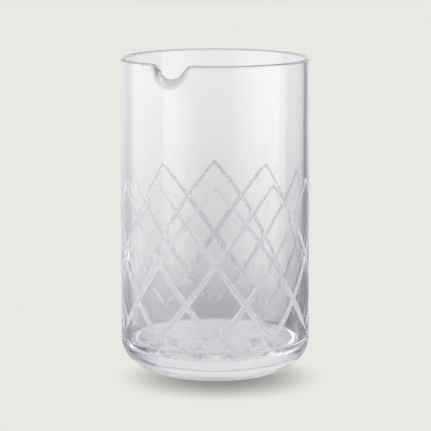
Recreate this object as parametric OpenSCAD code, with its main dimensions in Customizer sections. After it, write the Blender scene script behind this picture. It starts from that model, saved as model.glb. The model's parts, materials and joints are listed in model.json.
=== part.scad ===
// Mixing glass: one seamless piece of clear glass with a heavy base, a pouring lip pressed into the
// rim and a band of V-shaped cuts that cross in diamonds.
// Millimetres, +Z up, origin at the centre of the resting face, lip at -Y.

/* [Body] */
// Outside diameter of the wall
outer_d = 90; // [84:1:96]
// Height from the resting face to the rim
height = 151; // [146:1:156]
// Wall thickness from the rim down to the taper
wall_rim = 2.8; // [2.4:0.1:3.2]
// Wall thickness just above the floor
wall_floor = 4.2; // [3.8:0.1:4.8]
// Height below which the wall gets thicker
taper_z = 100; // [97:1:106]
// Radius that the rim's edges are melted to
rim_r = 1.0; // [0.7:0.1:1.1]

/* [Base] */
// Thickness of the solid glass under the floor
base_h = 15.7; // [14:0.1:17]
// Radius of the inside corner between wall and floor
floor_r = 1.6; // [1:0.2:3]
// Radius of the flat that the outside corner ends on
foot_r = 24; // [22:0.5:26]
// Radius of the outside corner where it leaves the wall
corner_r = 13.3; // [12:0.1:14]
// Angle that the corner turns through before the flatter arc under it, in degrees
corner_angle = 47.5; // [42:0.5:52]
// Depth of the shallow hollow under the base
punt_h = 0.5; // [0.3:0.1:0.8]
// Width of the ring that the glass stands on
foot_ring = 3; // [2:0.5:5]

/* [Pouring lip] */
// Depth of the dip at the inside of the wall
lip_in_h = 6.5; // [6:0.1:7.5]
// Depth of the dip at the outside of the wall
lip_out_h = 10.4; // [9.5:0.1:11]
// Width of the dip at the inside of the wall
lip_in_w = 18.8; // [18:0.2:21]
// Width of the dip at the outside of the wall
lip_out_w = 23.8; // [23.4:0.2:26]
// Radius of the bottom of the dip at the inside of the wall
lip_in_r = 5.5; // [4.5:0.1:5.8]
// Radius of the bottom of the dip at the outside of the wall
lip_out_r = 8.4; // [7.5:0.1:8.5]
// Radius of the shoulders where the dip meets the rim
lip_shoulder_r = 3.2; // [2.5:0.1:3.2]
// How far the wall is drawn out under the dip
lip_out = 1.4; // [1:0.1:1.8]
// Radius of the drawn-out bulge
lip_bulge_r = 22; // [20:1:24]

/* [Cuts] */
// Cuts of each hand round the glass
cut_count = 10; // [8:1:12]
// Height of the points where the cuts start
cut_top = 95; // [92:0.5:97]
// Height of the points where the cuts end
cut_bottom = 22; // [20:0.5:24]
// Turn of the points from the lip's centre line, in degrees
cut_phase = 28.3; // [0:0.1:36]
// Included angle of the V that each cut leaves
cut_angle = 108; // [100:1:116]
// Depth of a cut at its start
cut_start_depth = 0.35; // [0.2:0.05:0.45]
// Depth of a cut where it is deepest
cut_depth = 1.2; // [0.95:0.05:1.3]

/* [Hidden] */
$fn = 96;
outer_r = outer_d / 2;
bore_r = outer_r - wall_rim;
floor_wall_r = outer_r - wall_floor;

// The flatter arc runs from the corner arc to the resting face, tangent to both
foot_arc_r = corner_r + (outer_r - corner_r - foot_r) / cos(corner_angle);
corner_z = foot_arc_r - (foot_arc_r - corner_r) * sin(corner_angle);

// Angle past straight down that the flatter arc is carried on for, into the flat of the base
foot_overlap = 10;
// The hollow under the base is so shallow that its arc needs many steps
punt_fn = 1440;

// The underside of the dip's tool is a ruled surface of this many steps to each side. It is carried
// on past both faces of the wall by this share of the wall, and lifted so that its shoulders clear
// the rim
lip_steps = 14;
lip_carry = 0.35;
lip_lift = 0.03;
// How far the tool's top stands above the rim
lip_clear = 3;
// Height of the bulge's middle above the bottom of the dip's outside edge
lip_bulge_lift = 1;

// Each cut lies in a plane tilted by cut_tilt and reaches this many degrees each way from its middle
cut_half_turn = 360 / cut_count;
cut_mid = (cut_top + cut_bottom) / 2;
cut_tilt = atan((cut_top - cut_mid) / sin(cut_half_turn) / outer_r);
// Angle from its middle at which a cut is deepest
cut_deep_turn = 30;
// Angle before its middle at which a cut would be no deeper than cut_start_depth
cut_lead = 1.6 * cut_half_turn;
// Angle by which a cutter starts ahead of its cut
cut_run_in = 1.6;
// How far a cutter stands clear of the wall, and by how much its two ends leave the glass
cut_clear = 0.6;
cut_exit = 0.05;
cut_steps = 17;

function polar(r, a) = r * [cos(a), sin(a)];
// Smooth rise from 0 to 1
function ease(x) = let (t = max(0, min(1, x))) t * t * (3 - 2 * t);

// Half section of the solid glass, before the inside is taken out
module outline() {
    corner_centre = [outer_r - corner_r, corner_z];
    foot_centre = [foot_r, foot_arc_r];
    punt_r = foot_r - foot_ring;
    punt_arc_r = (punt_r * punt_r + punt_h * punt_h) / (2 * punt_h);
    difference() {
        union() {
            polygon([
                [0, 0], [foot_r, 0], foot_centre, corner_centre,
                [outer_r, corner_z], [outer_r, height - rim_r], [0, height - rim_r]
            ]);
            translate(corner_centre)
                circle(corner_r);
            translate(foot_centre)
                intersection() {
                    circle(foot_arc_r);
                    polygon([
                        [0, 0],
                        polar(2 * foot_arc_r, -corner_angle),
                        polar(2 * foot_arc_r, -90 - foot_overlap)
                    ]);
                }
            translate([bore_r + rim_r, height - 2 * rim_r])
                square([wall_rim - 2 * rim_r, 2 * rim_r]);
            for (x = [bore_r + rim_r, outer_r - rim_r])
                translate([x, height - rim_r])
                    circle(rim_r);
        }
        translate([0, punt_h - punt_arc_r])
            circle(punt_arc_r, $fn = punt_fn);
    }
}

// Half section of the space inside, from the floor to the rim's rounding
module inside() {
    polygon([
        [0, base_h], [floor_wall_r - floor_r, base_h], [floor_wall_r - floor_r, base_h + floor_r],
        [floor_wall_r, base_h + floor_r], [bore_r, taper_z], [bore_r, height - rim_r],
        [0, height - rim_r]
    ]);
    translate([floor_wall_r - floor_r, base_h + floor_r])
        circle(floor_r);
}

module vessel() {
    rotate_extrude()
        difference() {
            outline();
            inside();
        }
}

// Ball that carries the wall outwards under the dip, or the inside of it
module bulge(thinner) {
    translate([0, lip_bulge_r - lip_out - outer_r, height - lip_out_h + lip_bulge_lift])
        sphere(lip_bulge_r - thinner);
}

// The part of the bulge that is outside the middle of the wall
module drawn_wall() {
    difference() {
        bulge(0);
        translate([0, 0, height / 2])
            cylinder(h = height, r = bore_r + wall_rim / 2);
        translate([-outer_r, -bore_r / 2, height / 2])
            cube([2 * outer_r, 2 * outer_r, height]);
    }
}

// The space inside the bulge, in front of the bore's middle
module drawn_inside() {
    difference() {
        bulge(wall_rim);
        translate([-outer_r, -bore_r / 2, height / 2])
            cube([2 * outer_r, 2 * outer_r, height]);
    }
}

// A point of the dip's edge: [sideways, down]. u is -1 and 1 at the shoulders, 0 at the bottom.
// The edge is an arc of radius r at the bottom, a straight flank, and an arc at the shoulder
function dip_point(w, h, r, u) =
    let (
        both = r + lip_shoulder_r,
        half_w = w / 2,
        steep = atan2(half_w, both - h) - acos(both / norm([half_w, both - h])),
        flank = (half_w - both * sin(steep)) / cos(steep),
        bottom = r * steep * PI / 180,
        whole = bottom + flank + lip_shoulder_r * steep * PI / 180,
        d = abs(u) * whole,
        side = sign(u)
    )
    d < bottom
        ? let (t = d / r * 180 / PI) [side * r * sin(t), h - r * (1 - cos(t))]
        : d < bottom + flank
            ? let (t = d - bottom)
                [side * (r * sin(steep) + t * cos(steep)), h - r * (1 - cos(steep)) - t * sin(steep)]
            : let (t = (whole - d) / lip_shoulder_r * 180 / PI)
                [side * (half_w - lip_shoulder_r * sin(t)), lip_shoulder_r * (1 - cos(t))];

// A dip point laid on a round wall of radius r
function on_wall(r, p) = [each polar(r, -90 + p[0] / r * 180 / PI), height + lip_lift - p[1]];

// Tool that presses the dip: its underside is ruled from the edge inside to the edge outside
module lip_tool() {
    function ruled(u, t) =
        let (
            in = on_wall(bore_r, dip_point(lip_in_w, lip_in_h, lip_in_r, u)),
            out = on_wall(
                outer_r + lip_out * (1 - abs(u)),
                dip_point(lip_out_w, lip_out_h, lip_out_r, u)
            )
        )
        in + (out - in) * t;
    function raised(p) = [p[0], p[1], height + lip_clear];
    sides = [for (i = [-lip_steps : lip_steps]) i / lip_steps];
    inner = [for (u = sides) ruled(u, -lip_carry)];
    outer = [for (u = sides) ruled(u, 1 + lip_carry)];
    n = len(sides);
    points = concat(inner, outer, [for (p = inner) raised(p)], [for (p = outer) raised(p)]);
    polyhedron(
        points,
        concat(
            [for (i = [0 : n - 2]) each [
                [i, n + i, i + 1], [i + 1, n + i, n + i + 1],
                [i, i + 1, 2 * n + i], [i + 1, 2 * n + i + 1, 2 * n + i],
                [n + i, 3 * n + i, n + i + 1], [n + i + 1, 3 * n + i, 3 * n + i + 1],
                [2 * n + i, 2 * n + i + 1, 3 * n + i], [2 * n + i + 1, 3 * n + i + 1, 3 * n + i]
            ]],
            [[0, 2 * n, n], [n, 2 * n, 3 * n]],
            [[n - 1, 2 * n - 1, 3 * n - 1], [2 * n - 1, 4 * n - 1, 3 * n - 1]]
        )
    );
}

// Depth of a cut at an angle from its middle: it sinks in slowly and runs out at the end
function cut_depth_at(a) =
    a < cut_deep_turn
        ? cut_start_depth
            + (cut_depth - cut_start_depth) * ease((a + cut_lead) / (cut_lead + cut_deep_turn))
        : cut_depth * ease((cut_half_turn - a) / (cut_half_turn - cut_deep_turn));

// V-shaped cutter along one cut. hand is 1 or -1; the two hands are stepped differently so that
// no two edges meet exactly where cuts cross
module cutter(hand) {
    steps = cut_steps + hand;
    start = -cut_half_turn - cut_run_in;
    points = [
        for (i = [0 : steps])
            let (
                a = start + (cut_half_turn - start) * i / steps,
                depth = i == 0 || i == steps ? -cut_exit : cut_depth_at(a),
                lean = atan(tan(cut_tilt) * cos(a)),
                half_w = (depth + cut_clear) * tan(cut_angle / 2) / sin(lean),
                turn = atan(half_w / outer_r)
            )
            for (corner = [
                [outer_r + cut_clear, a - turn],
                [outer_r - depth, a],
                [outer_r + cut_clear, a + turn]
            ])
                [each polar(corner[0], hand * corner[1]), -outer_r * tan(cut_tilt) * sin(a)]
    ];
    last = 3 * steps;
    faces = [
        [0, 1, 2],
        for (i = [0 : steps - 1], side = [0 : 2])
            let (p = 3 * i + side, q = 3 * i + (side + 1) % 3)
            each [[p, p + 3, q], [q, p + 3, q + 3]],
        [last + 2, last + 1, last]
    ];
    polyhedron(points, [for (f = faces) hand > 0 ? f : [f[2], f[1], f[0]]]);
}

module cuts() {
    for (i = [0 : cut_count - 1], hand = [-1, 1])
        rotate([0, 0, -90 + cut_phase + 360 / cut_count * i + hand * cut_half_turn])
            translate([0, 0, cut_mid])
                cutter(hand);
}

module glass_body() {
    color([0.86, 0.9, 0.92, 0.4])
        difference() {
            union() {
                vessel();
                drawn_wall();
            }
            drawn_inside();
            lip_tool();
            cuts();
        }
}

glass_body();
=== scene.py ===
import json
import math
from collections import namedtuple

import bpy
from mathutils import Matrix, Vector


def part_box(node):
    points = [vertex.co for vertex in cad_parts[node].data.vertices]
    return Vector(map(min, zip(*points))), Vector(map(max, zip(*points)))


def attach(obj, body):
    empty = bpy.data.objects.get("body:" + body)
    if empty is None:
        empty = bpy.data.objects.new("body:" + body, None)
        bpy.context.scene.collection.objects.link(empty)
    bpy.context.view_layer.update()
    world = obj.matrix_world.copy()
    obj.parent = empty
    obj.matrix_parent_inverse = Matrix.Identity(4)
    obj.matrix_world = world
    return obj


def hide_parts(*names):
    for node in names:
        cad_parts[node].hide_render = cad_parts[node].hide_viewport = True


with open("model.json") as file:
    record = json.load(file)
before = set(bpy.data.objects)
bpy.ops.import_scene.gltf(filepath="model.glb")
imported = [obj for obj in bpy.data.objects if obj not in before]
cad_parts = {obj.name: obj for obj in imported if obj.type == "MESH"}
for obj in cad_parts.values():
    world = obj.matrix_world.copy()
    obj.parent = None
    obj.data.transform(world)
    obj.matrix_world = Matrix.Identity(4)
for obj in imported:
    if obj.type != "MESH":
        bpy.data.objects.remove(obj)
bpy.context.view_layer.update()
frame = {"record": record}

# The vessel's lengths are in millimetres, and its angles in degrees from the pouring lip, positive
# towards +X. Mesh points are written in metres.
MM = 0.001

# ---- Sizes taken from the frame -------------------------------------------------------------
body_lo, body_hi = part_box("glass_body")
OUTER_R = (body_hi[0] - body_lo[0]) / 2 / MM
HEIGHT = body_hi[2] / MM
MOUTH = next(m for m in frame["record"]["mounts"] if m["name"] == "mouth")
BORE_R = MOUTH["dims"]["r_mm"]

# ---- Inside ---------------------------------------------------------------------------------
# Below TAPER_Z the wall thickens to WALL_FLOOR at the floor, by a curve of this power
WALL_FLOOR = 4.2
TAPER_Z = 100.0
TAPER_POWER = 1.3
# Height of the inside floor, and the radius of the corner round it
BASE_H = 15.7
FLOOR_R = 1.6
# Shallow rings run round the inside floor: their height and their distance from each other
FLOOR_WAVE = 0.05
FLOOR_WAVE_LENGTH = 13.0

# ---- Outside of the base --------------------------------------------------------------------
# The corner is an arc of CORNER_R through CORNER_ANGLE, then a flatter arc down to FOOT_R
CORNER_R = 13.3
CORNER_ANGLE = 47.5
# The glass stands on a ring between these two radii, with a shallow hollow inside it
FOOT_R = 24.0
PUNT_R = 21.0
PUNT_H = 0.5

# ---- Rim ------------------------------------------------------------------------------------
# Height of the rim's rounding
RIM_R = 1.15
# The same in the dip of the lip, and its power there: 1 is round, 0 is square
BEVEL_R = 1.2
BEVEL_POWER = 0.6
# The rim counts wholly as dip where it is wider than the wall by this share
BEVEL_WIDER = 0.35
# Share of the bevel from which its surface is satin
SATIN_FROM = 0.05

# ---- Pouring lip ----------------------------------------------------------------------------
# Width, depth and bottom radius of the dip at the inside and the outside of the wall
DIP_IN = {"w": 18.8, "h": 6.1, "r": 5.5}
DIP_OUT = {"w": 23.8, "h": 10.0, "r": 8.4}
SHOULDER_R = 3.2
# How far the wall is drawn out at most, the height of that place, and how the swell fades round the
# glass in degrees and up and down in millimetres
LIP_OUT = 1.3
LIP_Z = HEIGHT - 9.0
LIP_TURN = 11.0
LIP_SPAN = 8.0

# ---- Cuts -----------------------------------------------------------------------------------
# Cuts of each hand, the heights of their upper and lower points, and the angle of one upper point
CUT_COUNT = 10
CUT_TOP = 95.0
CUT_BOTTOM = 22.0
CUT_PHASE = 28.3
# Angle between the two sides of the V, and the least half width of a cut
CUT_ANGLE = 108.0
MIN_HALF_W = 0.12
# The depth grows from CUT_START_DEPTH, which a cut would have CUT_LEAD pitches above its middle, to
# CUT_DEPTH at CUT_DEEP_TURN below its middle. The upper point is one pitch above the middle
CUT_START_DEPTH = 0.45
CUT_DEPTH = 1.2
CUT_DEEP_TURN = 30.0
CUT_LEAD = 1.6
# A cut ends in a short slope of this length
CUT_END = 0.45
PITCH = 360.0 / CUT_COUNT
CUT_MID = (CUT_TOP + CUT_BOTTOM) / 2
CUT_RISE = (CUT_TOP - CUT_MID) / math.sin(math.radians(PITCH))

# ---- Mesh density ---------------------------------------------------------------------------
# A cell of the lattice runs from the middle of one cut to the middle of the next
GROOVE_STEPS = 3
FACE_STEPS = 18
CELL = 2 * GROOVE_STEPS + FACE_STEPS
# The lattice reaches this many half pitches above and below the middle of the cuts
LATTICE_ROWS = 3
# Rounds in which a lattice point and the width of the cuts there settle on each other
SETTLE_ROUNDS = 4
CAP_ROWS = 5
RIM_ROWS = 16
BEAD_STEPS = 16
WALL_ROWS = 14
FLOOR_CORNER_ROWS = 14
FLOOR_ROWS = 15
BASE_CORNER_ROWS = 18
PUNT_ROWS = 7
# Rows near the rim are closer together, by this power. The columns leave the rim and reach the level
# ring below it with these lengths of tangent
RIM_CROWD = 1.7
RIM_TANGENT = 9.0
LEVEL_TANGENT = 32.0
# Columns are drawn towards the lip by up to this share of their distance from it, fading over
# DRAW_SPAN. The step between the dip's two edges fades over SKEW_SPAN beside it
DRAW_SHARE = 0.5
DRAW_SPAN = 26.0
SKEW_SPAN = 6.0
# Heights closer than this are one
SAME_HEIGHT = 1e-6
# Edges that bend more than this are sharp
SHARP_ANGLE = 24.0

# The flatter arc of the outside corner is tangent to the first arc and to the resting face
FOOT_ARC_R = CORNER_R + (OUTER_R - CORNER_R - FOOT_R) / math.cos(math.radians(CORNER_ANGLE))
CORNER_Z = FOOT_ARC_R - (FOOT_ARC_R - CORNER_R) * math.sin(math.radians(CORNER_ANGLE))
CORNER_LENGTH = CORNER_R * math.radians(CORNER_ANGLE)
FOOT_ARC_LENGTH = FOOT_ARC_R * math.radians(90 - CORNER_ANGLE)


def ease(x):
    """Smooth rise from 0 to 1."""
    t = min(1.0, max(0.0, x))
    return t * t * (3 - 2 * t)


def from_lip(angle):
    """The same angle between -180 and 180."""
    return (angle + 180) % 360 - 180


def around(radius, angle, z):
    """A point at a radius, an angle from the lip towards +X, and a height."""
    a = math.radians(angle)
    return Vector((radius * math.sin(a), -radius * math.cos(a), z))


# ---- Outside of the wall --------------------------------------------------------------------
def outside(level):
    """Radius, height and outward normal at a level: a height on the wall, and below it the length
    along the corner down from where the corner starts."""
    if level >= CORNER_Z:
        return OUTER_R, level, 1.0, 0.0
    run = CORNER_Z - level
    if run < CORNER_LENGTH:
        turn = run / CORNER_R
        arc_r, centre_r, centre_z = CORNER_R, OUTER_R - CORNER_R, CORNER_Z
    else:
        turn = math.radians(CORNER_ANGLE) + (run - CORNER_LENGTH) / FOOT_ARC_R
        arc_r, centre_r, centre_z = FOOT_ARC_R, FOOT_R, FOOT_ARC_R
    normal_r, normal_z = math.cos(turn), -math.sin(turn)
    return centre_r + arc_r * normal_r, centre_z + arc_r * normal_z, normal_r, normal_z


def lip_swell(angle, z):
    """How far the wall is drawn out round the lip."""
    return LIP_OUT * math.exp(-((angle / LIP_TURN) ** 2) - ((z - LIP_Z) / LIP_SPAN) ** 2)


def outer_point(angle, level, depth=0.0):
    """A point on the outside of the wall, or a depth below its surface."""
    r, z, normal_r, normal_z = outside(level)
    swell = lip_swell(from_lip(angle), z)
    return around(r + swell - depth * normal_r, angle, z - depth * normal_z)


# ---- Inside of the wall ---------------------------------------------------------------------
def bore(z):
    """Radius of the inside at a height."""
    share = min(1.0, max(0.0, (TAPER_Z - z) / (TAPER_Z - BASE_H - FLOOR_R)))
    return BORE_R - (WALL_FLOOR - (OUTER_R - BORE_R)) * share**TAPER_POWER


def inner_point(angle, z):
    return around(bore(z) + lip_swell(from_lip(angle), z), angle, z)


# ---- Lattice of cuts ------------------------------------------------------------------------
LatticePoint = namedtuple("LatticePoint", "angle level depth share_s share_t")


def cut_depth_at(a):
    """Depth of a cut at an angle along it, from -PITCH at its upper point to PITCH at its lower."""
    if a >= CUT_DEEP_TURN:
        return CUT_DEPTH * ease((PITCH - a) / (PITCH - CUT_DEEP_TURN))
    if a < -PITCH:
        return 0.0
    lead = CUT_LEAD * PITCH
    grow = ease((a + lead) / (lead + CUT_DEEP_TURN))
    return CUT_START_DEPTH + (CUT_DEPTH - CUT_START_DEPTH) * grow


def cut_half_turn(a):
    """Half the width of a cut, as an angle round the glass at one height."""
    depth = cut_depth_at(max(a, -PITCH))
    half_w = max(depth * math.tan(math.radians(CUT_ANGLE / 2)), MIN_HALF_W)
    lean = math.atan(CUT_RISE / OUTER_R * math.cos(math.radians(a)))
    return math.degrees(half_w / math.sin(lean) / OUTER_R)


def cell_turn(i, half):
    """Angle of a lattice line from the last cut's middle, and its share of that cut's depth."""
    cell, step = divmod(i, CELL)
    back = CELL - step
    if step <= GROOVE_STEPS:
        return cell * PITCH + half * step / GROOVE_STEPS, 1 - step / GROOVE_STEPS
    if back <= GROOVE_STEPS:
        return (cell + 1) * PITCH - half * back / GROOVE_STEPS, 1 - back / GROOVE_STEPS
    share = (step - GROOVE_STEPS) / FACE_STEPS
    return cell * PITCH + half + (PITCH - 2 * half) * share, 0.0


def lattice_at(i, j):
    """The point where lattice line i of one hand crosses line j of the other."""
    a = (j - i) / CELL * PITCH / 2
    for _ in range(SETTLE_ROUNDS):
        half = cut_half_turn(a)
        s, share_s = cell_turn(i, half)
        t, share_t = cell_turn(j, half)
        a = (t - s) / 2
    level = CUT_MID - CUT_RISE * math.sin(math.radians(a))
    depth = cut_depth_at(a) * max(share_s, share_t)
    return LatticePoint((s + t) / 2 + CUT_PHASE, level, depth, share_s, share_t)


# ---- Edges of the rim -----------------------------------------------------------------------
def dip_point(dip, u):
    """A point of the dip's edge, [sideways, down]: an arc at the bottom, a straight flank and an
    arc at the shoulder. u is -1 and 1 at the shoulders' ends and 0 at the bottom."""
    half_w, h, r = dip["w"] / 2, dip["h"], dip["r"]
    both = r + SHOULDER_R
    steep = math.atan2(half_w, both - h) - math.acos(both / math.hypot(half_w, both - h))
    flank = (half_w - both * math.sin(steep)) / math.cos(steep)
    bottom = r * steep
    whole = bottom + flank + SHOULDER_R * steep
    d = abs(u) * whole
    if d < bottom:
        x, y = r * math.sin(d / r), h - r * (1 - math.cos(d / r))
    elif d < bottom + flank:
        t = d - bottom
        x = r * math.sin(steep) + t * math.cos(steep)
        y = h - r * (1 - math.cos(steep)) - t * math.sin(steep)
    else:
        t = (whole - d) / SHOULDER_R
        x, y = half_w - SHOULDER_R * math.sin(t), SHOULDER_R * (1 - math.cos(t))
    return math.copysign(x, u), y


def rim_edges(angle):
    """The rim's outer and inner edge points, each (angle, height), on the column that stands at an
    angle. Columns are drawn towards the lip, where the edges bend most."""
    x = math.radians(from_lip(angle)) * OUTER_R
    x -= DRAW_SHARE * x * math.exp(-((x / DRAW_SPAN) ** 2))
    reach = DIP_OUT["w"] / 2
    if abs(x) < reach:
        out_x, out_y = dip_point(DIP_OUT, x / reach)
        in_x, in_y = dip_point(DIP_IN, x / reach)
        outer = math.degrees(out_x / OUTER_R), HEIGHT - out_y
        inner = math.degrees(in_x / BORE_R), HEIGHT - in_y
        return outer, inner
    skew = reach / OUTER_R - DIP_IN["w"] / 2 / BORE_R
    skew *= math.exp(-(((abs(x) - reach) / SKEW_SPAN) ** 2))
    outer_angle = math.degrees(x / OUTER_R)
    inner_angle = outer_angle - math.copysign(math.degrees(skew), x)
    return (outer_angle, HEIGHT), (inner_angle, HEIGHT)


# ---- Mesh -----------------------------------------------------------------------------------
# Material slots of the faces
CLEAR, GROUND, SATIN = 0, 1, 2


class Shell:
    """Collects points and faces of one closed mesh."""

    def __init__(self):
        self.points = []
        self.faces = []
        self.kinds = []

    def point(self, p):
        self.points.append(p * MM)
        return len(self.points) - 1

    def ring(self, points):
        return [self.point(p) for p in points]

    def face(self, corners, kind=CLEAR):
        """A face, without the corners that repeat the one before."""
        kept = [c for n, c in enumerate(corners) if c != corners[n - 1]]
        if len(kept) > 2:
            self.faces.append(kept)
            self.kinds.append(kind)

    def band(self, low, high, kinds=None):
        """Faces between two closed rings, seen from outside with high above low."""
        count = len(low)
        for k in range(count):
            n = (k + 1) % count
            self.face([low[k], low[n], high[n], high[k]], kinds[k] if kinds else CLEAR)

    def fan(self, ring, centre, down):
        """Faces between a closed ring and a point, seen from below or from above."""
        for k in range(len(ring)):
            n = (k + 1) % len(ring)
            self.face([ring[n], ring[k], centre] if down else [ring[k], ring[n], centre])


def build_lattice(shell):
    """The band of cuts. Returns its upper and lower edges: lists of (lattice point, index)."""
    whole = CELL * CUT_COUNT
    made = {}

    def vertex(i, j):
        """The lattice point at i, j and the index of its mesh point."""
        key = (i % whole, j - i)
        if key not in made:
            place = lattice_at(key[0], key[0] + key[1])
            made[key] = place, shell.point(outer_point(place.angle, place.level, place.depth))
        return made[key]

    def quad(i, j):
        """One face of the lattice. In a cut it is split along the diagonal nearer to the valleys."""
        met = [vertex(i, j), vertex(i, j + 1), vertex(i + 1, j + 1), vertex(i + 1, j)]
        corners = [index for _, index in met]
        if all(place.depth <= 0 for place, _ in met):
            shell.face(corners)
            return
        gap = [abs(place.share_s - place.share_t) for place, _ in met]
        if gap[0] + gap[2] <= gap[1] + gap[3]:
            halves = [[0, 1, 2], [0, 2, 3]]
        else:
            halves = [[0, 1, 3], [1, 2, 3]]
        for half in halves:
            shell.face([corners[h] for h in half], GROUND)

    for cut in range(CUT_COUNT):
        for row in range(1 - LATTICE_ROWS, LATTICE_ROWS):
            for di in range(CELL):
                for dj in range(CELL):
                    quad(cut * CELL + di, (cut + row) * CELL + dj)

    top, bottom = [], []
    for cut in range(CUT_COUNT):
        up, down = (cut + 1 - LATTICE_ROWS) * CELL, (cut - 1 + LATTICE_ROWS) * CELL
        top += [(cut * CELL + n, up) for n in range(CELL)]
        top += [((cut + 1) * CELL, up + n) for n in range(CELL)]
        bottom += [(cut * CELL, down + n) for n in range(CELL)]
        bottom += [(cut * CELL + n, down + CELL) for n in range(CELL)]
    return [vertex(i, j) for i, j in top], [vertex(i, j) for i, j in bottom]


def cap(shell, edge, level, above):
    """Columns from the lattice's zigzag edge to a level ring. Returns the ring and its angles."""
    columns = []
    for place, index in edge:
        column = [index]
        rise = level - place.level
        first = math.copysign(min(CUT_END, abs(rise) / CAP_ROWS), rise)
        for n in range(CAP_ROWS):
            at = place.level + first + (rise - first) * n / (CAP_ROWS - 1)
            no_rise = abs(rise) < SAME_HEIGHT
            column.append(index if no_rise else shell.point(outer_point(place.angle, at)))
        columns.append(column)
    count = len(columns)
    for k in range(count):
        left, right = columns[k], columns[(k + 1) % count]
        cut = edge[k][0].depth > 0 or edge[(k + 1) % count][0].depth > 0
        for n in range(CAP_ROWS):
            quad = [left[n], right[n], right[n + 1], left[n + 1]]
            shell.face(quad if above else quad[::-1], GROUND if cut and n == 0 else CLEAR)
    return [column[-1] for column in columns], [place.angle for place, _ in edge]


def hermite(p0, d0, p1, d1, t):
    """A point of the curve from p0 to p1 with tangents d0 and d1, at t from 0 to 1."""
    return (
        p0 * (2 * t**3 - 3 * t**2 + 1)
        + d0 * (t**3 - 2 * t**2 + t)
        + p1 * (3 * t**2 - 2 * t**3)
        + d1 * (t**3 - t**2)
    )


def build_rim(shell, ring, angles, level):
    """The wall from a ring at a level up to the rim, over it, and down the inside to the same
    level. Returns the ring on the inside."""
    count = len(ring)
    edges = [rim_edges(a) for a in angles]

    def flat(k, inner):
        """An edge point unrolled: [along the wall, up]."""
        outer_edge, inner_edge = edges[k % count]
        angle, height = inner_edge if inner else outer_edge
        return Vector((math.radians(angle) * (BORE_R if inner else OUTER_R), height))

    def into_wall(k, inner):
        """Unit vector from an edge point into the glass, square to the edge."""
        whole = 2 * math.pi * (BORE_R if inner else OUTER_R)
        step = flat(k + 1, inner) - flat(k - 1, inner)
        if step.x < -whole / 2:
            step.x += whole
        return Vector((step.y, -step.x)).normalized()

    def on_wall(p, inner):
        """An unrolled point back on its side of the wall."""
        scale = BORE_R if inner else OUTER_R
        angle = math.degrees(p.x / scale)
        return inner_point(angle, p.y) if inner else outer_point(angle, p.y)

    def bevel(k):
        """0 on the rounded rim, 1 in the dip, where the rim is a flat slope with softened edges."""
        width = (on_wall(flat(k, False), False) - on_wall(flat(k, True), True)).length
        return ease((width / (OUTER_R - BORE_R) - 1) / BEVEL_WIDER)

    def bead_rise(k):
        """Height of the rim's rounding."""
        return RIM_R + (BEVEL_R - RIM_R) * bevel(k)

    def column(k, inner):
        """Points from the rounding of the rim down to the level ring."""
        scale = BORE_R if inner else OUTER_R
        start = flat(k, inner) + into_wall(k, inner) * bead_rise(k)
        leaves = into_wall(k, inner) * RIM_TANGENT
        end = Vector((math.radians(from_lip(angles[k])) * scale, level))
        arrives = Vector((0, -LEVEL_TANGENT))
        points = []
        for n in range(RIM_ROWS):
            t = (n / RIM_ROWS) ** RIM_CROWD
            points.append(on_wall(hermite(start, leaves, end, arrives, t), inner))
        return points

    outer_columns = [column(k, False) for k in range(count)]
    inner_columns = [column(k, True) for k in range(count)]

    rows = [shell.ring([c[n] for c in outer_columns]) for n in range(RIM_ROWS)]
    shell.band(ring, rows[-1])
    for low, high in zip(rows[:0:-1], rows[-2::-1]):
        shell.band(low, high)

    # The rounded rim: a half turn from the outer edge over to the inner edge
    low = rows[0]
    kinds = [SATIN if min(bevel(k), bevel(k + 1)) > SATIN_FROM else CLEAR for k in range(count)]
    corners = []
    for k in range(count):
        outer, inner = on_wall(flat(k, False), False), on_wall(flat(k, True), True)
        power = 1 + (BEVEL_POWER - 1) * bevel(k)
        falls = outer_columns[k][0] - outer, inner_columns[k][0] - inner
        corners.append((outer, inner, falls, power))
    for n in range(1, BEAD_STEPS):
        turn = math.radians(180 * n / BEAD_STEPS)
        across, up = math.cos(turn), math.sin(turn)
        ring_points = []
        for outer, inner, falls, power in corners:
            over = (1 - math.copysign(abs(across) ** power, across)) / 2
            down = 1 - up**power
            fall = falls[0].lerp(falls[1], over)
            ring_points.append(outer.lerp(inner, over) + fall * down)
        high = shell.ring(ring_points)
        shell.band(low, high, kinds)
        low = high

    for n in range(RIM_ROWS):
        high = shell.ring([c[n] for c in inner_columns])
        shell.band(low, high)
        low = high
    return low


def build_inside(shell, ring, angles, level):
    """The inside from a level ring down to the middle of the floor."""
    profile = []
    floor_top = BASE_H + FLOOR_R
    for n in range(WALL_ROWS + 1):
        z = level + (floor_top - level) * n / WALL_ROWS
        profile.append((bore(z), z))
    floor_edge = bore(floor_top) - FLOOR_R
    for n in range(1, FLOOR_CORNER_ROWS + 1):
        turn = math.radians(90 * n / FLOOR_CORNER_ROWS)
        profile.append((floor_edge + FLOOR_R * math.cos(turn), floor_top - FLOOR_R * math.sin(turn)))
    for n in range(1, FLOOR_ROWS):
        r = floor_edge * (1 - n / FLOOR_ROWS)
        profile.append((r, BASE_H + FLOOR_WAVE * math.sin(2 * math.pi * r / FLOOR_WAVE_LENGTH)))
    low = ring
    for r, z in profile:
        high = shell.ring([around(r, a, z) for a in angles])
        shell.band(low, high)
        low = high
    shell.fan(low, shell.point(Vector((0, 0, BASE_H))), down=False)


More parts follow.
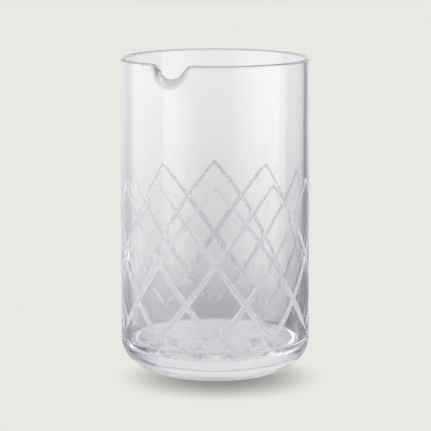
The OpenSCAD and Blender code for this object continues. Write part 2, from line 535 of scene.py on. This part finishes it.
def build_base(shell, ring, angles, level):
    """The outside from a level ring on the corner down to the middle of the hollow underneath."""
    profile = []
    bottom = CORNER_Z - CORNER_LENGTH - FOOT_ARC_LENGTH
    for n in range(1, BASE_CORNER_ROWS + 1):
        r, z, _, _ = outside(level + (bottom - level) * n / BASE_CORNER_ROWS)
        profile.append((r, z))
    profile.append(((FOOT_R + PUNT_R) / 2, 0.0))
    punt_arc_r = (PUNT_R**2 + PUNT_H**2) / (2 * PUNT_H)
    for n in range(PUNT_ROWS):
        r = PUNT_R * (1 - n / PUNT_ROWS)
        profile.append((r, PUNT_H - punt_arc_r + math.sqrt(punt_arc_r**2 - r**2)))
    high = ring
    for r, z in profile:
        low = shell.ring([around(r, a, z) for a in angles])
        shell.band(low, high)
        high = low
    shell.fan(high, shell.point(Vector((0, 0, PUNT_H))), down=True)


def mark_cut_edges(mesh):
    """Makes every edge sharp where a polished face meets a ground one."""
    kinds = [set() for _ in mesh.edges]
    for polygon in mesh.polygons:
        for loop in polygon.loop_indices:
            kinds[mesh.loops[loop].edge_index].add(polygon.material_index)
    for edge, met in zip(mesh.edges, kinds):
        if len(met) > 1:
            edge.use_edge_sharp = True


def build_glass():
    shell = Shell()
    top, bottom = build_lattice(shell)
    reach = CUT_RISE * math.sin(math.radians(LATTICE_ROWS * PITCH / 2))
    upper, angles = cap(shell, top, CUT_MID + reach, above=True)
    inside_ring = build_rim(shell, upper, angles, CUT_MID + reach)
    build_inside(shell, inside_ring, angles, CUT_MID + reach)
    lower, angles = cap(shell, bottom, CUT_MID - reach, above=False)
    build_base(shell, lower, angles, CUT_MID - reach)

    mesh = bpy.data.meshes.new("mixing_glass")
    mesh.from_pydata(shell.points, [], shell.faces)
    mesh.polygons.foreach_set("material_index", shell.kinds)
    mesh.polygons.foreach_set("use_smooth", [True] * len(shell.faces))
    mesh.update()
    mesh.set_sharp_from_angle(angle=math.radians(SHARP_ANGLE))
    mark_cut_edges(mesh)
    made = bpy.data.objects.new("mixing_glass", mesh)
    bpy.context.scene.collection.objects.link(made)
    return made


glass = build_glass()


# ---- Materials ------------------------------------------------------------------------------
GLASS_IOR = 1.51
# The waves that drawing leaves in the glass, and the grain that a grinding wheel leaves in the cuts:
# how many there are in a metre, and their height in metres
WAVES = {"bump_scale": 60.0, "bump_height": 0.00002}
GRAIN = {"bump_scale": 1800.0, "bump_height": 0.000001}
BUMP_DETAIL = 2.0


def opaque(color):
    return (*color, 1)


class Tree:
    """A node tree being built. new returns a node, and the helpers after it return the socket that
    carries their result."""

    def __init__(self, owner):
        owner.use_nodes = True
        self.nodes = owner.node_tree.nodes
        self.links = owner.node_tree.links
        self.nodes.clear()

    def put(self, socket, value):
        """Feeds a socket from another socket, or gives it a fixed value."""
        if isinstance(value, bpy.types.NodeSocket):
            self.links.new(value, socket)
        else:
            socket.default_value = value

    def new(self, kind, **inputs):
        """A node with its inputs set by name, with _ for a space."""
        node = self.nodes.new(kind)
        for name, value in inputs.items():
            self.put(node.inputs[name.replace("_", " ")], value)
        return node

    def math(self, operation, a, b=0.0, c=0.0):
        node = self.nodes.new("ShaderNodeMath")
        node.operation = operation
        for socket, value in zip(node.inputs, (a, b, c)):
            self.put(socket, value)
        return node.outputs[0]

    def vector(self, operation, a, b=(0.0, 0.0, 0.0)):
        node = self.nodes.new("ShaderNodeVectorMath")
        node.operation = operation
        self.put(node.inputs[0], a)
        self.put(node.inputs["Scale" if operation == "SCALE" else 1], b)
        gives_number = operation in ("DOT_PRODUCT", "LENGTH")
        return node.outputs["Value" if gives_number else "Vector"]

    def ramp(self, factor, stops):
        """Colours between stops, a list of (place from 0 to 1, colour)."""
        node = self.nodes.new("ShaderNodeValToRGB")
        self.put(node.inputs["Fac"], factor)
        elements = node.color_ramp.elements
        for element, (place, color) in zip(elements, (stops[0], stops[-1])):
            element.position = place
            element.color = opaque(color)
        for place, color in stops[1:-1]:
            elements.new(place).color = opaque(color)
        return node.outputs["Color"]

    def blend(self, kind, factor, a, b):
        node = self.nodes.new("ShaderNodeMix")
        node.data_type = "RGBA"
        node.blend_type = kind
        self.put(node.inputs[0], factor)
        self.put(node.inputs[6], a)
        self.put(node.inputs[7], b)
        return node.outputs[2]

    def finish(self, shader, kind="ShaderNodeOutputMaterial"):
        self.links.new(shader, self.nodes.new(kind).inputs["Surface"])


def glass_material(name, tint, roughness, transmission, bump_scale, bump_height):
    material = bpy.data.materials.new(name)
    tree = Tree(material)
    noise = tree.new(
        "ShaderNodeTexNoise",
        Vector=tree.new("ShaderNodeTexCoord").outputs["Object"],
        Scale=bump_scale,
        Detail=BUMP_DETAIL,
    )
    bump = tree.new(
        "ShaderNodeBump", Strength=1.0, Distance=bump_height, Height=noise.outputs["Fac"]
    )
    shader = tree.new(
        "ShaderNodeBsdfPrincipled",
        Base_Color=opaque(tint),
        Roughness=roughness,
        IOR=GLASS_IOR,
        Transmission_Weight=transmission,
        Normal=bump.outputs["Normal"],
    )
    tree.finish(shader.outputs["BSDF"])
    return material


clear = glass_material(
    "clear_glass", tint=(0.99, 0.99, 0.995), roughness=0.0, transmission=1.0, **WAVES
)
ground = glass_material(
    "ground_glass", tint=(0.92, 0.92, 0.94), roughness=0.9, transmission=0.7, **GRAIN
)
satin = glass_material(
    "lip_glass", tint=(0.93, 0.93, 0.95), roughness=0.5, transmission=1.0, **WAVES
)
# In the order of CLEAR, GROUND and SATIN
for material in (clear, ground, satin):
    glass.data.materials.append(material)

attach(glass, "root")
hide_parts("glass_body")


# ---- Camera ---------------------------------------------------------------------------------
# Where it stands, seen from the glass: its turn from the lip, its distance from the axis and its
# height, and how far it looks down
CAMERA_AZIMUTH = 27.8
CAMERA_DISTANCE = 1117.0
CAMERA_HEIGHT = 259.0
CAMERA_PITCH = 9.36
CAMERA_LENS = 197.5
CAMERA_SENSOR = 36.0
CAMERA_SHIFT = 0.0009
# In metres
CAMERA_NEAR = 0.05
CAMERA_FAR = 50.0

camera_data = bpy.data.cameras.new("camera")
camera_data.lens = CAMERA_LENS
camera_data.sensor_width = CAMERA_SENSOR
camera_data.clip_start = CAMERA_NEAR
camera_data.clip_end = CAMERA_FAR
camera_data.shift_x = CAMERA_SHIFT
camera = bpy.data.objects.new("camera", camera_data)
bpy.context.scene.collection.objects.link(camera)
camera.location = around(CAMERA_DISTANCE, CAMERA_AZIMUTH, CAMERA_HEIGHT) * MM
camera.rotation_euler = (math.radians(90 - CAMERA_PITCH), 0, math.radians(CAMERA_AZIMUTH))
bpy.context.scene.camera = camera


# ---- Floor and light ------------------------------------------------------------------------
# The camera sees one even pale colour, with a soft shadow painted on it. What the glass reflects
# and refracts is a studio that turns with the camera, as if the glass stood on a turntable between
# two soft panels, and the floor in it glows with painted light and shade.
# Lengths are in metres here, and angles run from the camera's side of the glass, seen from above,
# positive to the camera's right.
BACKDROP = (0.8148, 0.8069, 0.7682)
FLOOR_HALF = 30.0
FLOOR_Z = -0.0001
# The soft shadow is a painted shadow: a round patch painted on the floor, a little in front of the
# glass. Its radius, where its middle is, the tone there, and the power by which it fades to the edge
SHADOW_R = 0.052
SHADOW_RIGHT = 0.0024
SHADOW_FRONT = 0.017
SHADOW_TONE = 0.33
SHADOW_POWER = 1.5
# A ring of this radius and height round the glass carries the panels
PANEL_R = 0.152
PANEL_TOP = 0.42
PANEL_LIGHT = 1.6
PANEL_SIDES = 96
# Even light on the ground faces of the cuts
SOFT_LIGHT = 1.08
# Change of red, green and blue in the darkest parts of the room, and the level where it fades out
DARK_TINT = (-0.08, -0.01, 0.22)
LIGHTEST = 0.8
# Brightness of the room by angle, at the horizon and below
ROOM = [
    (-180, 0.83), (-150, 0.80), (-140, 0.72), (-125, 0.66), (-60, 0.62), (-20, 0.66),
    (20, 0.66), (60, 0.62), (95, 0.62), (117, 0.58), (128, 0.50), (139, 0.42),
    (145, 0.30), (150, 0.28), (154, 0.66), (160, 0.80), (180, 0.83),
]
# Brightness of the walls by angle, above the horizon, with a dark gap at each side
WALLS = [
    (-180, 0.77), (-148, 0.74), (-140, 0.69), (-132, 0.58), (-127, 0.36), (-123, 0.20),
    (-119, 0.42), (-114, 0.59), (-60, 0.58), (-20, 0.61), (20, 0.61), (60, 0.58),
    (95, 0.58), (112, 0.54), (119, 0.34), (123, 0.22), (128, 0.24), (132, 0.36),
    (140, 0.50), (146, 0.62), (152, 0.71), (180, 0.77),
]
# Brightness of the panels by angle
PANELS = [
    (-180, 0), (-110, 0), (-106, 1), (-60, 0.95), (-35, 0.55), (-18, 0),
    (14, 0), (35, 0.5), (62, 1), (83.5, 1), (84.5, 0), (180, 0),
]
# Painted light and shade on the floor that the glass shows, by distance from the glass's axis: lit
# under the glass, a painted shade round it, and lighter again far off. The room's brightness, times
# FLOOR_GAIN, is laid over it as painted pools of light and shade
FLOOR_LIGHT_AND_SHADE = [
    (0.0, (0.80, 0.80, 0.81)), (0.042, (0.76, 0.76, 0.77)), (0.056, (0.40, 0.405, 0.43)),
    (0.139, (0.41, 0.415, 0.44)), (0.195, (0.53, 0.535, 0.55)),
    (0.29, (0.635, 0.635, 0.645)), (0.52, (0.71, 0.71, 0.715)), (0.78, (0.775, 0.775, 0.78)),
    (1.05, (0.815, 0.815, 0.815)), (1.36, (0.835, 0.835, 0.835)), (3.0, (0.85, 0.85, 0.85)),
]
FLOOR_GAIN = 1.2
FLOOR_FAR = 3.0
# Share of an even painted light in place of the room's brightness under the glass, by distance from
# its axis
UNDER_GLASS = [(0.032, 1), (0.052, 0)]
UNDER_LEVEL = 0.64
# Above the horizon the far floor's tone fades into the walls by the first height, and the walls into
# the ceiling between the other two. A height is the upward part of a direction of length 1
HORIZON_FADE = 0.12
CEILING_FROM = 0.3
CEILING_WHOLE = 0.7
CEILING = (0.58, 0.58, 0.59)
# Light goes round inside the rim this many times before it is given up
BOUNCES = 64


def grey(level):
    return (level, level, level)


def cool(level):
    """A grey of the room: the darker it is, the bluer."""
    dark = max(0.0, 1 - level / LIGHTEST)
    return tuple(level * (1 + tint * dark) for tint in DARK_TINT)


def camera_axes(tree):
    """Level directions to the camera's right and away from the camera, each of length 1."""
    node = tree.new("ShaderNodeVectorTransform", Vector=(1.0, 0.0, 0.0))
    node.vector_type = "VECTOR"
    node.convert_from = "CAMERA"
    node.convert_to = "WORLD"
    right = node.outputs["Vector"]
    return right, tree.vector("CROSS_PRODUCT", (0.0, 0.0, 1.0), right)


def turn_from_camera(tree, vector):
    """Angle of a vector round the glass from the camera's side, as 0.5 plus a share of a turn."""
    right, back = camera_axes(tree)
    x = tree.vector("DOT_PRODUCT", vector, right)
    y = tree.vector("DOT_PRODUCT", vector, back)
    turn = tree.math("ARCTAN2", x, tree.math("MULTIPLY", y, -1.0))
    return tree.math("MULTIPLY_ADD", turn, 0.5 / math.pi, 0.5)


def by_ray(tree, to_camera, through_glass):
    """Chooses between what the camera sees straight on, what it sees through and in the glass, and
    the even light that falls on the ground faces of the cuts."""
    path = tree.new("ShaderNodeLightPath")
    lit = tree.math("MINIMUM", path.outputs["Diffuse Depth"], 1.0)
    seen = tree.blend("MIX", lit, through_glass, opaque(grey(SOFT_LIGHT)))
    return tree.blend("MIX", path.outputs["Is Camera Ray"], seen, to_camera)


def by_angle(tree, vector, stops, tone=grey):
    """A tone by the angle of a vector, from stops of (angle, level)."""
    turn = turn_from_camera(tree, vector)
    return tree.ramp(turn, [(0.5 + angle / 360, tone(level)) for angle, level in stops])


def stage_object(name, points, faces, material):
    mesh = bpy.data.meshes.new(name)
    mesh.from_pydata(points, [], faces)
    mesh.materials.append(material)
    made = bpy.data.objects.new(name, mesh)
    bpy.context.scene.collection.objects.link(made)
    return made


def painted_shadow(tree, position):
    """Tone of the painted shadow at a place on the floor: a darker round patch, not cast by the
    glass.
    """
    right, back = camera_axes(tree)
    to_right = tree.vector("SCALE", right, SHADOW_RIGHT)
    to_front = tree.vector("SCALE", back, -SHADOW_FRONT)
    middle = tree.vector("ADD", to_right, to_front)
    away = tree.vector("LENGTH", tree.vector("SUBTRACT", position, middle))
    share = tree.math("MINIMUM", tree.math("DIVIDE", away, SHADOW_R), 1.0)
    fade = tree.new(
        "ShaderNodeMapRange",
        Value=tree.math("POWER", share, SHADOW_POWER),
        To_Min=SHADOW_TONE,
        To_Max=1.0,
    )
    fade.interpolation_type = "SMOOTHSTEP"
    return fade.outputs["Result"]


def floor_material():
    material = bpy.data.materials.new("floor_paper")
    tree = Tree(material)
    position = tree.new("ShaderNodeNewGeometry").outputs["Position"]
    share = tree.math("DIVIDE", tree.vector("LENGTH", position), FLOOR_FAR)
    # The floor that the glass shows glows with painted light and shade, by distance and by angle
    painted_tones = tree.ramp(share, [(away / FLOOR_FAR, color) for away, color in FLOOR_LIGHT_AND_SHADE])
    under = tree.ramp(share, [(away / FLOOR_FAR, grey(level)) for away, level in UNDER_GLASS])
    room = by_angle(tree, position, ROOM, cool)
    room = tree.blend("MIX", under, room, opaque(cool(UNDER_LEVEL)))
    room = tree.blend("MULTIPLY", 1.0, room, opaque(grey(FLOOR_GAIN)))
    seen = tree.blend("MULTIPLY", 1.0, painted_tones, room)
    # The camera sees the even backdrop, darkened where the shadow is painted on it
    backdrop = tree.blend("MULTIPLY", 1.0, painted_shadow(tree, position), opaque(BACKDROP))
    color = by_ray(tree, backdrop, seen)
    tree.finish(tree.new("ShaderNodeEmission", Color=color).outputs["Emission"])
    return material


def panel_material():
    material = bpy.data.materials.new("soft_panels")
    tree = Tree(material)
    position = tree.new("ShaderNodeNewGeometry").outputs["Position"]
    share = by_angle(tree, position, PANELS)
    light = tree.new("ShaderNodeEmission", Strength=PANEL_LIGHT).outputs["Emission"]
    clear_way = tree.new("ShaderNodeBsdfTransparent").outputs["BSDF"]
    mix = tree.new("ShaderNodeMixShader", Fac=share)
    tree.put(mix.inputs[1], clear_way)
    tree.put(mix.inputs[2], light)
    tree.finish(mix.outputs["Shader"])
    return material


def build_floor():
    signs = ((-1, -1), (1, -1), (1, 1), (-1, 1))
    points = [(x * FLOOR_HALF, y * FLOOR_HALF, FLOOR_Z) for x, y in signs]
    stage_object("floor", points, [(0, 1, 2, 3)], floor_material())


def build_panels():
    """A ring round the glass that shines only where the panels are. The camera doesn't see it."""
    points = []
    for z in (0.0, PANEL_TOP):
        for k in range(PANEL_SIDES):
            points.append(around(PANEL_R, 360 * k / PANEL_SIDES, z))
    faces = []
    for k in range(PANEL_SIDES):
        n = (k + 1) % PANEL_SIDES
        faces.append((k, n, PANEL_SIDES + n, PANEL_SIDES + k))
    panels = stage_object("panels", points, faces, panel_material())
    panels.visible_camera = False
    panels.visible_shadow = False


def build_world():
    world = bpy.data.worlds.new("studio")
    bpy.context.scene.world = world
    tree = Tree(world)
    direction = tree.new("ShaderNodeTexCoord").outputs["Generated"]
    height = tree.new("ShaderNodeSeparateXYZ", Vector=direction).outputs["Z"]
    far_gain = FLOOR_GAIN * FLOOR_LIGHT_AND_SHADE[-1][1][0]
    room = by_angle(tree, direction, ROOM, cool)
    far_floor = tree.blend("MULTIPLY", 1.0, room, opaque(grey(far_gain)))
    walls = by_angle(tree, direction, WALLS, cool)
    risen = tree.ramp(height, [(0.0, grey(0)), (HORIZON_FADE, grey(1))])
    walls = tree.blend("MIX", risen, far_floor, walls)
    above = tree.ramp(height, [(CEILING_FROM, grey(0)), (CEILING_WHOLE, grey(1))])
    seen = tree.blend("MIX", above, walls, opaque(CEILING))
    color = by_ray(tree, opaque(BACKDROP), seen)
    light = tree.new("ShaderNodeBackground", Color=color).outputs["Background"]
    tree.finish(light, "ShaderNodeOutputWorld")


build_floor()
build_panels()
build_world()

cycles = bpy.context.scene.cycles
cycles.max_bounces = BOUNCES
cycles.transmission_bounces = BOUNCES
cycles.glossy_bounces = BOUNCES
bpy.context.scene.view_settings.view_transform = "Standard"
